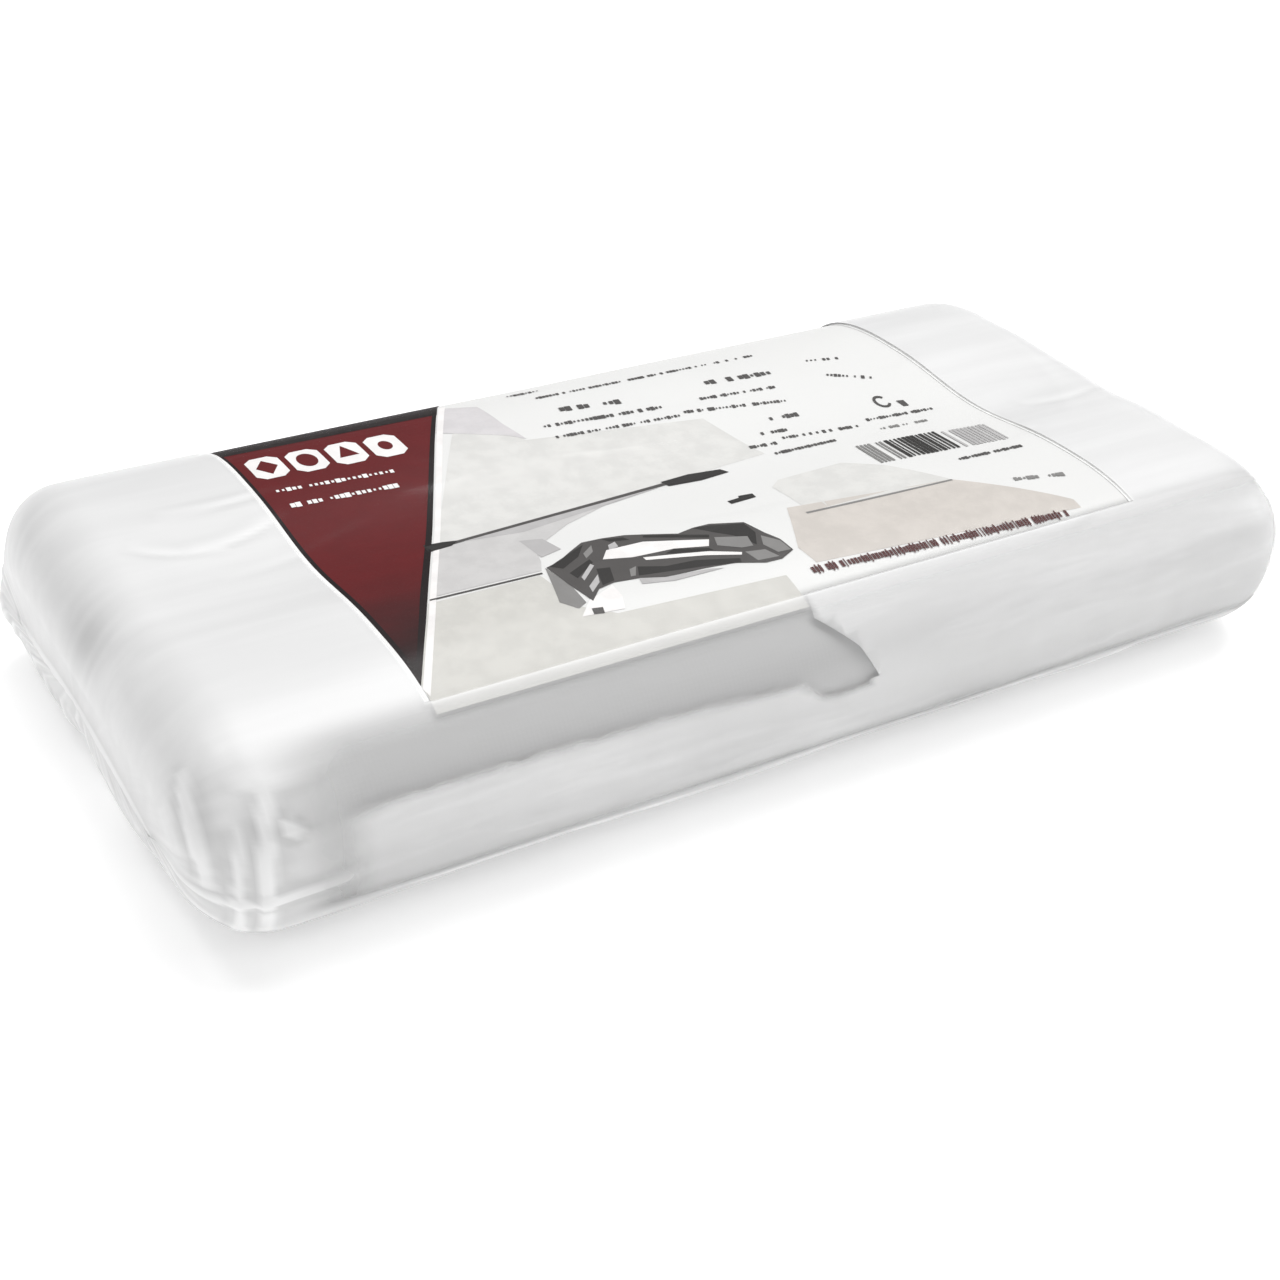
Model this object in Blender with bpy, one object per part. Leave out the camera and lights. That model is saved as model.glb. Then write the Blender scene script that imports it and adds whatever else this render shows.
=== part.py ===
# Twin pack of vacuum-sealer film rolls under clear shrink film, with a printed card on top.
# Frame: +X along the rolls, -Y the front roll, +Z up; the origin is under the middle of the pack.
import math

import bmesh
import bpy

# The two rolls: wound film without a core, pressed oval
film_width = 0.220  # length of each roll
roll_width = 0.0562
roll_height = 0.03565
roll_squareness = 2.6  # exponent of the oval: 2 is an ellipse, more is squarer
shoulder = 0.0108  # how far the outer turns' edges are drawn in at the ends
eye_width = 0.018
eye_height = 0.0034
rolls_apart = 0.0004

# The tape that holds each roll's tail
tape_length = 0.025
tape_start = 127.5  # degrees round from the outer side, under the roll
tape_end = 157.5  # near the valley
tape_thickness = 0.00015

# The printed card between the rolls and the film
card_left = -0.0714
card_length = 0.1460
card_thickness = 0.0003
card_front = 52.5  # degrees up the front roll's oval where the card's front edge lies
card_rear = 36  # the same on the rear roll, where the card turns further over

# The shrink film
film_thickness = 0.0004
end_slack = 0.00105  # air between the film and the rolls' ends
top_sag = 0.0020
valley_depth = 0.0080
valley_sharpness = 6.0
valley_hug = 0.93  # share of the oval that the film follows on its way into the valley
rest_sink = 0.00015  # how much the weight flattens each oval into a strip to rest on
vent_radius = 0.0024

clearance = 0.0003  # between pieces that touch

# Fineness of the shapes
lobe_steps = 24
valley_steps = 18
top_steps = 8
round_steps = 6

# Derived sizes
facet = 180 / lobe_steps  # degrees; the rolls, card and tapes share it, so their faces lie parallel
roll_steps = 2 * lobe_steps
film_offset = film_thickness + clearance
lobe_y = (roll_width + rolls_apart) / 2
roll_bottom = film_offset - rest_sink
roll_z = roll_bottom + roll_height / 2
card_room = clearance + card_thickness + film_offset  # from a roll out to the film over the card
lobe_half_width = roll_width / 2 + card_room
top_z = roll_bottom + roll_height + card_room
lobe_half_height = (top_z + rest_sink) / 2
lobe_z = top_z - lobe_half_height
pack_half_length = film_width / 2 + end_slack + film_offset
end_radius = shoulder + pack_half_length - film_width / 2


def oval(half_width, half_height, degrees):
    """Point of a superellipse in the given direction from its centre."""
    c, s = math.cos(math.radians(degrees)), math.sin(math.radians(degrees))
    n = roll_squareness
    reach = (abs(c) ** n + abs(s) ** n) ** (-1 / n)
    return half_width * c * reach, half_height * s * reach


def facet_degrees(start, end):
    """Directions from start up to end, at the corners that all the ovals share."""
    first = math.floor(start / facet) + 1
    last = math.ceil(end / facet)
    return [start] + [facet * i for i in range(first, last)] + [end]


def lobe_point(side, degrees, inset):
    """Point of the film round one roll. 0 degrees is the outer side and 90 the crown."""
    y, z = oval(lobe_half_width - inset, lobe_half_height - inset, degrees)
    return side * (lobe_y + y), max(lobe_z + z, inset)


def valley_point(y, inset):
    """The film leaves the rolls' ovals and crosses between them underneath."""
    n, k = roll_squareness, valley_sharpness
    u = valley_hug * (1 - abs(y) / lobe_y)
    half_height = lobe_half_height - inset
    rise = 1 - (1 - u**n) ** (1 / n)
    if rise > 0:
        rise = (rise**-k + (valley_depth / lobe_half_height) ** -k) ** (-1 / k)
    return y, max(lobe_z - half_height * (1 - rise), inset)


def top_point(y, inset):
    """The film and the card sag a little between the crowns."""
    sag = top_sag * ((1 + math.cos(math.pi * y / lobe_y)) / 2) ** (roll_squareness / 2)
    return y, top_z - inset - sag


def film_profile(inset):
    """Closed outline of the film in Y and Z, from the front crown round below to the front crown."""
    points = []
    for i in range(lobe_steps):
        points.append(lobe_point(-1, 90 - facet * i, inset))
    for i in range(valley_steps):
        points.append(valley_point(lobe_y * (2 * i / valley_steps - 1), inset))
    for i in range(lobe_steps):
        points.append(lobe_point(1, facet * i - 90, inset))
    for i in range(top_steps):
        points.append(top_point(lobe_y * (1 - 2 * i / top_steps), inset))
    return points


def stations(half_length, radius):
    """X places and insets of sections whose ends are rounded by radius."""
    places = []
    for i in range(round_steps + 1):
        turn = math.pi / 2 * (1 - i / round_steps)
        x = half_length - radius + radius * math.sin(turn)
        places.append((-x, radius * (1 - math.cos(turn))))
    return places + [(-x, inset) for x, inset in reversed(places)]


def add_ring(bm, x, points):
    return [bm.verts.new((x, y, z)) for y, z in points]


def join_rings(bm, first, second):
    count = len(first)
    for i in range(count):
        j = (i + 1) % count
        bm.faces.new((first[i], first[j], second[j], second[i]))


def add_loft(bm, half_length, radius, section):
    """Skin through the sections, open at both ends. Gives back the end rings."""
    rings = [add_ring(bm, x, section(inset)) for x, inset in stations(half_length, radius)]
    for before, after in zip(rings, rings[1:]):
        join_rings(bm, before, after)
    return rings[0], rings[-1]


def material(name, colour, roughness, alpha=1.0):
    made = bpy.data.materials.new(name)
    made.use_nodes = True
    shader = made.node_tree.nodes["Principled BSDF"]
    shader.inputs["Base Color"].default_value = (*colour, 1.0)
    shader.inputs["Roughness"].default_value = roughness
    shader.inputs["Alpha"].default_value = alpha
    return made


def finish(bm, name, look, smooth_below=40):
    bmesh.ops.recalc_face_normals(bm, faces=bm.faces)
    mesh = bpy.data.meshes.new(name)
    bm.to_mesh(mesh)
    bm.free()
    mesh.shade_smooth()
    mesh.set_sharp_from_angle(angle=math.radians(smooth_below))
    mesh.materials.append(look)
    made = bpy.data.objects.new(name, mesh)
    bpy.context.scene.collection.objects.link(made)
    made.parent = pack
    return made


def vent_ring(count):
    """Points of the round vent, each towards the outline point of the same number."""
    outline = film_profile(end_radius)
    points = []
    for y, z in outline[:count]:
        turn = math.atan2((z - lobe_z) * lobe_half_width / lobe_half_height, y)
        points.append((vent_radius * math.cos(turn), lobe_z + vent_radius * math.sin(turn)))
    return points


def make_overwrap(look):
    """Outer and inner skins of the film, joined through a small air vent in each end."""
    bm = bmesh.new()
    skins = []
    for depth in (0.0, film_thickness):
        ends = add_loft(
            bm,
            pack_half_length - depth,
            end_radius - depth,
            lambda inset, depth=depth: film_profile(inset + depth),
        )
        vents = []
        for ring in ends:
            vent = add_ring(bm, ring[0].co.x, vent_ring(len(ring)))
            join_rings(bm, ring, vent)
            vents.append(vent)
        skins.append(vents)
    for outer, inner in zip(*skins):
        join_rings(bm, outer, inner)
    return finish(bm, "shrink_overwrap", look)


def make_roll(name, side, look):
    """Oval roll with the flattened eye that runs through it."""

    def section(inset):
        ring = []
        for i in range(roll_steps):
            y, z = oval(roll_width / 2 - inset, roll_height / 2 - inset, facet * i)
            ring.append((side * lobe_y + y, max(roll_z + z, film_offset + inset)))
        return ring

    bm = bmesh.new()
    ends = add_loft(bm, film_width / 2, shoulder, section)
    eye = [oval(eye_width / 2, eye_height / 2, facet * i) for i in range(roll_steps)]
    holes = []
    for ring in ends:
        hole = add_ring(bm, ring[0].co.x, [(side * lobe_y + y, roll_z + z) for y, z in eye])
        join_rings(bm, ring, hole)
        holes.append(hole)
    join_rings(bm, *holes)
    return finish(bm, name, look)


def make_strip(name, start, end, outer, inner, look):
    """Closed thin strip between two rows of points, extruded along X."""
    bm = bmesh.new()
    outline = outer + inner[::-1]
    rings = [add_ring(bm, x, outline) for x in (start, end)]
    join_rings(bm, *rings)
    count = len(outer)
    for ring in rings:
        for i in range(count - 1):
            bm.faces.new((ring[i], ring[i + 1], ring[-2 - i], ring[-1 - i]))
    return finish(bm, name, look)


def make_card(look):
    """The card lies on both crowns just under the film and turns over the rear roll."""

    def row(inset):
        points = [lobe_point(-1, degrees, inset) for degrees in facet_degrees(card_front, 90)]
        across = [lobe_y * (2 * i / top_steps - 1) for i in range(1, top_steps)]
        points += [top_point(y, inset) for y in across]
        rear = facet_degrees(card_rear, 90)[::-1]
        return points + [lobe_point(1, degrees, inset) for degrees in rear]

    outer = row(film_offset)
    inner = row(film_offset + card_thickness)
    return make_strip("label_card", card_left, card_left + card_length, outer, inner, look)


def make_tape(name, side, look):
    """Short tape over the tail of a roll."""

    def row(lift):
        points = []
        for degrees in facet_degrees(tape_start, tape_end):
            y, z = oval(roll_width / 2 + lift, roll_height / 2 + lift, -degrees)
            points.append((side * (lobe_y + y), roll_z + z))
        return points

    outer = row(clearance + tape_thickness)
    inner = row(clearance)
    return make_strip(name, -tape_length / 2, tape_length / 2, outer, inner, look)


for old in list(bpy.data.objects):
    bpy.data.objects.remove(old)

pack = bpy.data.objects.new("film_roll_twin_pack", None)
bpy.context.scene.collection.objects.link(pack)

clear_film = material("clear_shrink_film", (0.90, 0.91, 0.92), 0.12, alpha=0.3)
milky_film = material("milky_embossed_film", (0.83, 0.84, 0.85), 0.45)
paper = material("printed_paper", (0.80, 0.79, 0.77), 0.60)
tape = material("clear_tape", (0.85, 0.84, 0.78), 0.25, alpha=0.6)

make_overwrap(clear_film)
make_roll("front_film_roll", -1, milky_film)
make_roll("rear_film_roll", 1, milky_film)
make_card(paper)
make_tape("front_roll_tail_tape", -1, tape)
make_tape("rear_roll_tail_tape", 1, tape)
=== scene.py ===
import math

import bmesh
import bpy
import numpy as np
from mathutils import Matrix, Vector


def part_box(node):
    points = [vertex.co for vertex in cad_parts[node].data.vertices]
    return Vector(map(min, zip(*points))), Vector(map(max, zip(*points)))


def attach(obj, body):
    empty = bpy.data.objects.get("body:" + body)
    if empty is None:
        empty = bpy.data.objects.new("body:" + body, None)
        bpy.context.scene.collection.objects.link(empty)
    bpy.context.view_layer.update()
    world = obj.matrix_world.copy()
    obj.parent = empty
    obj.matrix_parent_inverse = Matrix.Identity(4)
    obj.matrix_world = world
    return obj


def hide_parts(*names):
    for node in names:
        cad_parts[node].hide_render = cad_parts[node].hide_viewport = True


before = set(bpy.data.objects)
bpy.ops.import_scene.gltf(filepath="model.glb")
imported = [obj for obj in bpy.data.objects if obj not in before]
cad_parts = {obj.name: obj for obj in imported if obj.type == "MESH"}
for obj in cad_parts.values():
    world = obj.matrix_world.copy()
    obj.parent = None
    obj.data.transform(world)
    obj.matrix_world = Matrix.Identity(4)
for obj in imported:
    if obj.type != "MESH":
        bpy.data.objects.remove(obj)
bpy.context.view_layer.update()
mm = 0.001
print("frame loaded")


# The section that the film takes round the two rolls: ovals joined by a sag on top and a valley below
packSection = {
    "squareness": 2.6,  # exponent of the rolls' oval
    "valleyHug": 0.93,  # share of the oval that the film follows on its way into the valley
    "valleyDepth": 8.0 * mm,
    "valleySharpness": 6.0,
    "topSag": 2.0 * mm,
    "restSink": 0.15 * mm,
    "shoulder": 10.8 * mm,  # how far the rolls' outer turns are drawn in at the ends
    "cardDepth": 0.7 * mm,  # from the film's outer side down to the card's top
    "steps": 96,
}
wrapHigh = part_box("shrink_overwrap")[1]
rollLow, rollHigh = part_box("rear_film_roll")
cardLow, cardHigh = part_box("label_card")
lobeY = (rollLow.y + rollHigh.y) / 2
lobeHalfWidth = wrapHigh.y - lobeY
lobeHalfHeight = (wrapHigh.z + packSection["restSink"]) / 2
lobeZ = wrapHigh.z - lobeHalfHeight
halfLength = wrapHigh.x
endRadius = packSection["shoulder"] + wrapHigh.x - rollHigh.x
straightHalf = halfLength - endRadius


def oval(halfWidth, halfHeight, degrees):
    n = packSection["squareness"]
    c, s = np.cos(np.radians(degrees)), np.sin(np.radians(degrees))
    reach = (abs(c) ** n + abs(s) ** n) ** (-1 / n)
    return halfWidth * c * reach, halfHeight * s * reach


def valleyHeight(y, inset):
    n, k = packSection["squareness"], packSection["valleySharpness"]
    u = packSection["valleyHug"] * (1 - abs(y) / lobeY)
    rise = np.maximum(1 - (1 - u**n) ** (1 / n), 1e-6)
    rise = (rise**-k + (packSection["valleyDepth"] / lobeHalfHeight) ** -k) ** (-1 / k)
    return np.maximum(lobeZ - (lobeHalfHeight - inset) * (1 - rise), inset)


def topHeight(y, inset):
    sag = ((1 + np.cos(np.pi * y / lobeY)) / 2) ** (packSection["squareness"] / 2)
    return wrapHigh.z - inset - packSection["topSag"] * sag


def outline(inset):
    # From the middle of the valley round the rear roll, over the top and round the front roll
    steps = packSection["steps"]
    inwards = np.linspace(0, lobeY, steps // 2, endpoint=False)
    climb = np.linspace(-90, 90, 2 * steps, endpoint=False)
    across = np.linspace(lobeY, -lobeY, steps, endpoint=False)
    lobeWidth, lobeRise = oval(lobeHalfWidth - inset, lobeHalfHeight - inset, climb)
    lobeHeight = np.maximum(lobeZ + lobeRise, inset)
    rearLobe = np.stack([lobeY + lobeWidth, lobeHeight], -1)
    lastWidth, lastRise = oval(lobeHalfWidth - inset, lobeHalfHeight - inset, -climb)
    frontLobe = np.stack([-lobeY - lastWidth, np.maximum(lobeZ + lastRise, inset)], -1)
    valley = np.stack([inwards, valleyHeight(inwards, inset)], -1)
    top = np.stack([across, topHeight(across, inset)], -1)
    leaving = np.linspace(-lobeY, 0, steps // 2 + 1)
    last = np.stack([leaving, valleyHeight(leaving, inset)], -1)
    return np.concatenate([valley, rearLobe, top, frontLobe, last])


insetSteps = np.linspace(0, endRadius, 40)
outlines = np.array([outline(inset) for inset in insetSteps])
arcOfPoint = np.concatenate([[0], np.cumsum(np.linalg.norm(np.diff(outlines[0], axis=0), axis=1))])
girth = arcOfPoint[-1]
arcOfPoint = arcOfPoint - girth / 2  # 0 is the middle of the top, plus is towards the front


def arcAt(y, side):
    # Arc of a place on the upper half, side -1 in front and 1 behind
    steps = packSection["steps"]
    first, last = (3 * steps, 4 * steps) if side < 0 else (steps + steps // 2, 3 * steps + 1)
    points, arcs = outlines[0][first:last], arcOfPoint[first:last]
    return float(np.interp(-y, -points[:, 0], arcs))


def onPack(run, arc, depth=0.0):
    # Place on the film's outer side, run along the pack and arc round it, or depth below it
    run, arc = np.broadcast_arrays(np.asarray(run, float), np.asarray(arc, float))
    radius = endRadius - depth
    turn = np.clip((abs(run) - straightHalf) / radius, 0, math.pi / 2)
    x = np.where(turn > 0, straightHalf + radius * np.sin(turn), abs(run)) * np.sign(run)
    inset = np.minimum(depth + radius * (1 - np.cos(turn)), endRadius * 0.9999)
    row = inset / endRadius * (len(insetSteps) - 1)
    wrapped = (arc + girth / 2) % girth - girth / 2
    column = np.interp(wrapped, arcOfPoint, np.arange(len(arcOfPoint)))
    i, j = row.astype(int), np.minimum(column.astype(int), len(arcOfPoint) - 2)
    p, q = (row - i)[..., None], (column - j)[..., None]
    near = outlines[i, j] * (1 - q) + outlines[i, j + 1] * q
    far = outlines[i + 1, j] * (1 - q) + outlines[i + 1, j + 1] * q
    section = near * (1 - p) + far * p
    return np.concatenate([x[..., None], section], -1)


def outwards(run, arc, depth=0.0):
    step = 0.4 * mm
    alongRun = onPack(run + step, arc, depth) - onPack(run - step, arc, depth)
    alongArc = onPack(run, arc + step, depth) - onPack(run, arc - step, depth)
    normal = np.cross(alongArc, alongRun)
    return normal / np.maximum(np.linalg.norm(normal, axis=-1, keepdims=True), 1e-12)


runSpan = halfLength + endRadius


def patchNoise(run, arc, runPitch, arcPitch, seed):
    # Smooth noise from 0 to 1 that closes round the pack
    across = max(3, round(girth / arcPitch))
    lattice = np.random.default_rng(seed).random((int(2 * runSpan / runPitch) + 4, across))
    u = (run + runSpan) / runPitch
    v = (arc + girth / 2) % girth / girth * across
    i, j = u.astype(int), v.astype(int) % across
    p, q = u - u.astype(int), v - v.astype(int)
    p, q = p * p * (3 - 2 * p), q * q * (3 - 2 * q)
    k = (j + 1) % across
    near = lattice[i, j] * (1 - q) + lattice[i, k] * q
    far = lattice[i + 1, j] * (1 - q) + lattice[i + 1, k] * q
    return near * (1 - p) + far * p


def ridged(noise, sharpness=1.6):
    return (1 - abs(2 * noise - 1)) ** sharpness


def fade(value, low, high):
    t = np.clip((value - low) / (high - low), 0, 1)
    return t * t * (3 - 2 * t)


def crease(run, arc, start, end, width, height):
    # A fold from start to end, steep on one side, that dies away at its tips
    along = np.subtract(end, start)
    length = max(float(np.hypot(*along)), 1e-6)
    u, v = along / length
    q, r = run - start[0], arc - start[1]
    place = (q * u + r * v) / length
    bow = 0.8 * np.sin(place * math.pi * 1.3)
    aside = (r * u - q * v) / width - bow
    profile = np.where(aside > 0, np.exp(-((aside * 1.7) ** 2)), np.exp(-((aside * 0.6) ** 2)))
    tip = np.sin(np.clip(place, 0, 1) * math.pi) ** 0.7
    return height * profile * tip


def makeObject(name, mesh, looks, smooth=True):
    mesh.update()
    if smooth:
        mesh.shade_smooth()
    for look in looks:
        mesh.materials.append(look)
    made = bpy.data.objects.new(name, mesh)
    bpy.context.scene.collection.objects.link(made)
    return made


def makeMesh(name, points, faces, looks, smooth=True):
    mesh = bpy.data.meshes.new(name)
    mesh.from_pydata(np.asarray(points).tolist(), [], faces)
    return makeObject(name, mesh, looks, smooth)


def addWall(obj, name, thickness):
    wall = obj.modifiers.new(name, "SOLIDIFY")
    wall.thickness = thickness
    wall.offset = -1


def addAttribute(obj, name, values):
    layer = obj.data.attributes.new(name, "FLOAT", "POINT")
    layer.data.foreach_set("value", np.asarray(values, np.float32))


def gridFaces(rows, columns, closed=False):
    faces = []
    for i in range(rows - 1):
        for j in range(columns if closed else columns - 1):
            k = (j + 1) % columns
            near, far = i * columns, (i + 1) * columns
            faces.append((near + j, near + k, far + k, far + j))
    return faces


class Signal:  # an output socket, so that a sum of masks is written as arithmetic
    def __init__(self, look, socket):
        self.look = look
        self.socket = socket

    def maths(self, operation, first, second=None):
        return self.look.node("ShaderNodeMath", {"operation": operation}, {0: first, 1: second})

    def __add__(self, other):
        return self.maths("ADD", self, other)

    def __radd__(self, other):
        return self.maths("ADD", other, self)

    def __sub__(self, other):
        return self.maths("SUBTRACT", self, other)

    def __rsub__(self, other):
        return self.maths("SUBTRACT", other, self)

    def __mul__(self, other):
        return self.maths("MULTIPLY", self, other)

    def sine(self):
        return self.maths("SINE", self)

    def clamped(self, low=0.0, high=1.0):
        return self.maths("MAXIMUM", self.maths("MINIMUM", self, high), low)


class Look:  # a material built round one Principled shader
    def __init__(self, name, **values):
        self.material = bpy.data.materials.new(name)
        self.material.use_nodes = True
        self.tree = self.material.node_tree
        self.shader = self.tree.nodes["Principled BSDF"]
        for socket, value in values.items():
            self.shader.inputs[socket.replace("_", " ")].default_value = value

    def node(self, kind, settings=None, inputs=None, output=0):
        made = self.tree.nodes.new(kind)
        for key, value in (settings or {}).items():
            setattr(made, key, value)
        for key, value in (inputs or {}).items():
            if isinstance(value, Signal):
                self.tree.links.new(value.socket, made.inputs[key])
            elif value is not None:
                made.inputs[key].default_value = value
        return Signal(self, made.outputs[output])

    def place(self):
        return self.node("ShaderNodeTexCoord", output="Object")

    def uv(self):
        return self.node("ShaderNodeTexCoord", output="UV")

    def attribute(self, name):
        return self.node("ShaderNodeAttribute", {"attribute_name": name}, output="Fac")

    def stretched(self, vector, scale):
        return self.node("ShaderNodeMapping", inputs={"Vector": vector, "Scale": scale})

    def noise(self, vector, scale, detail=3.0, roughness=0.5):
        values = {"Vector": vector, "Scale": scale, "Detail": detail, "Roughness": roughness}
        return self.node("ShaderNodeTexNoise", inputs=values)

    def spread(self, value, low, high, toLow=0.0, toHigh=1.0):
        values = {"Value": value, "From Min": low, "From Max": high, "To Min": toLow, "To Max": toHigh}
        return self.node("ShaderNodeMapRange", {"interpolation_type": "SMOOTHSTEP"}, values)

    def blend(self, factor, first, second):
        return self.node("ShaderNodeMix", {"data_type": "RGBA"}, {0: factor, 6: first, 7: second}, 2)

    def bump(self, height, distance, strength=1.0, normal=None):
        values = {"Height": height, "Distance": distance, "Strength": strength, "Normal": normal}
        return self.node("ShaderNodeBump", inputs=values)

    def feed(self, **signals):
        for socket, signal in signals.items():
            self.tree.links.new(signal.socket, self.shader.inputs[socket.replace("_", " ")])
        return self.material


def axes(look, vector):
    split = look.node("ShaderNodeSeparateXYZ", inputs={0: vector})
    return [Signal(look, output) for output in split.socket.node.outputs]


def grey(value):
    return (value, value, value, 1)


def clearFilmLook():
    look = Look("clearShrinkFilm", Coat_Roughness=0.32, Specular_IOR_Level=0.4, IOR=1.5)
    place = look.place()
    streaks = look.noise(look.stretched(place, (18, 160, 160)), 1.0, 4.0)
    cloudy = look.noise(place, 38, 3.0)
    specks = look.noise(place, 900, 2.0)
    fold = look.attribute("fold")
    haze = look.attribute("haze") * look.spread(look.attribute("toEdge"), -0.25, 0.0)
    height = axes(look, place)[2]
    # Painted shade towards the bottom of the film; fold crests shift the ramp, a painted highlight on them
    low = look.spread(height + cloudy * 0.012 + fold * 0.016, 0.026, 0.004)
    # Painted shade: much darker along the bottom edge, just above the floor
    under = look.spread(height, 0.0070, 0.0015)
    # Painted shade in the hollows between folds
    hollow = (look.attribute("hollow") * 0.55).clamped()
    colour = look.blend(low, grey(0.905), grey(0.725))  # painted shade: greyer towards the bottom
    colour = look.blend(under, colour, grey(0.37))
    colour = look.blend(hollow, colour, grey(0.58))
    milk = haze * (0.97 + look.spread(streaks, 0.35, 0.75) * 0.05 - cloudy * 0.05)
    alpha = (0.018 + fold * (0.05 + haze * 0.1) + milk).clamped(0.018, 0.97)
    metallic = ((1 - haze * 14.0) * 0.75).clamped()
    roughness = (0.16 + look.spread(streaks, 0.4, 0.8) * 0.10 + haze * 0.22).clamped(0.08, 0.6)
    coat = (haze * 0.34 * (1 - low * 0.7)).clamped()
    fine = look.noise(look.stretched(place, (60, 420, 420)), 1.0, 3.0)
    normal = look.bump(fine + specks * 0.1, 0.00005, 0.5)
    look.feed(Base_Color=colour, Alpha=alpha, Metallic=metallic)
    return look.feed(Roughness=roughness, Coat_Weight=coat, Normal=normal)


def lapFilmLook():
    look = Look("doubledShrinkFilm", IOR=1.5)
    place = look.place()
    streaks = look.noise(look.stretched(place, (14, 120, 120)), 1.0, 5.0, 0.6)
    cloudy = look.noise(place, 60, 3.0)
    shown = look.spread(look.attribute("shown") + streaks * 0.5, 0.2, 1.1)
    alpha = ((0.56 + look.spread(streaks, 0.45, 0.75) * 0.16 + cloudy * 0.08) * shown).clamped(0.0, 0.85)
    # Painted shade: the ply greys towards the bottom
    low = look.spread(axes(look, place)[2] + cloudy * 0.010, 0.031, 0.008)
    colour = look.blend(low, grey(0.96), grey(0.70))
    roughness = (0.28 + streaks * 0.12).clamped(0.1, 0.6)
    normal = look.bump(streaks, 0.0002, 0.7)
    return look.feed(Base_Color=colour, Alpha=alpha, Roughness=roughness, Normal=normal)


def milkyFilmLook():
    look = Look("milkyEmbossedFilm", Coat_Weight=0.06, Coat_Roughness=0.3, IOR=1.45)
    u, v = axes(look, look.uv())[:2]
    pitch = 2 * math.pi / 0.0016
    across = (u * pitch + v * pitch).sine()
    back = (u * pitch - v * pitch).sine()
    cells = look.spread(across * back, -0.2, 0.7)
    place = look.place()
    cloudy = look.noise(look.stretched(place, (10, 60, 60)), 1.0, 3.0)
    turns = look.attribute("turns")
    pale = look.blend(cloudy, grey(0.51), grey(0.58))
    colour = look.blend((turns * 0.9).clamped(), pale, grey(0.43))
    roughness = (0.42 - cells * 0.08 + cloudy * 0.06).clamped(0.2, 0.8)
    normal = look.bump(cells, 0.00002, 0.25)
    return look.feed(Base_Color=colour, Roughness=roughness, Normal=normal)


def cardLook():
    look = Look("printedCard", Specular_IOR_Level=0.2)
    place = look.place()
    fibres = look.noise(look.stretched(place, (900, 2200, 900)), 1.0, 4.0)
    cloudy = look.noise(place, 45, 2.0)
    colour = look.blend(cloudy, (0.79, 0.79, 0.78, 1), (0.83, 0.83, 0.82, 1))
    roughness = (0.42 + fibres * 0.12).clamped(0.2, 0.8)
    normal = look.bump(fibres, 0.00002, 0.4)
    return look.feed(Base_Color=colour, Roughness=roughness, Normal=normal)


def inkLook(name, colour, tipColour=None, mottle=0.04):
    look = Look(name, Specular_IOR_Level=0.2)
    place = look.place()
    cloudy = look.noise(place, 260, 3.0)
    grain = look.noise(place, 1800, 2.0)
    dark = tuple(c * (1 - mottle) for c in colour) + (1,)
    pale = tuple(min(1, c * (1 + mottle)) for c in colour) + (1,)
    tone = look.blend(look.spread(cloudy * 0.8 + grain * 0.2, 0.35, 0.65), dark, pale)
    if tipColour:  # darkens towards the front, unevenly
        broad = look.noise(look.stretched(place, (60, 140, 60)), 1.0, 3.0)
        front = look.spread(axes(look, place)[1] + broad * 0.016, 0.002, -0.034)
        tone = look.blend(front, tone, tipColour + (1,))
    roughness = (0.50 + grain * 0.12).clamped(0.2, 0.8)
    return look.feed(Base_Color=tone, Roughness=roughness)


def tapeLook():
    look = Look("clearTailTape", Metallic=0.2, IOR=1.5)
    place = look.place()
    bubbles = look.noise(place, 700, 3.0)
    yellowing = look.noise(place, 80, 2.0)
    colour = look.blend(yellowing, (0.86, 0.84, 0.76, 1), (0.92, 0.91, 0.86, 1))
    alpha = (0.42 + look.spread(bubbles, 0.5, 0.8) * 0.3).clamped(0.2, 0.9)
    roughness = (0.20 + bubbles * 0.14).clamped(0.1, 0.6)
    normal = look.bump(bubbles, 0.00004, 0.5)
    return look.feed(Base_Color=colour, Alpha=alpha, Roughness=roughness, Normal=normal)


def floorLook():
    # Glows a little, so that shadows stay pale
    look = Look("paleStudioFloor", Specular_IOR_Level=0.2, Emission_Strength=0.36)
    cloudy = look.noise(look.place(), 3.0, 2.0)
    colour = look.blend(cloudy, grey(0.93), grey(0.95))
    roughness = (0.7 + cloudy * 0.1).clamped(0.5, 1.0)
    return look.feed(Base_Color=colour, Roughness=roughness)


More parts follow.
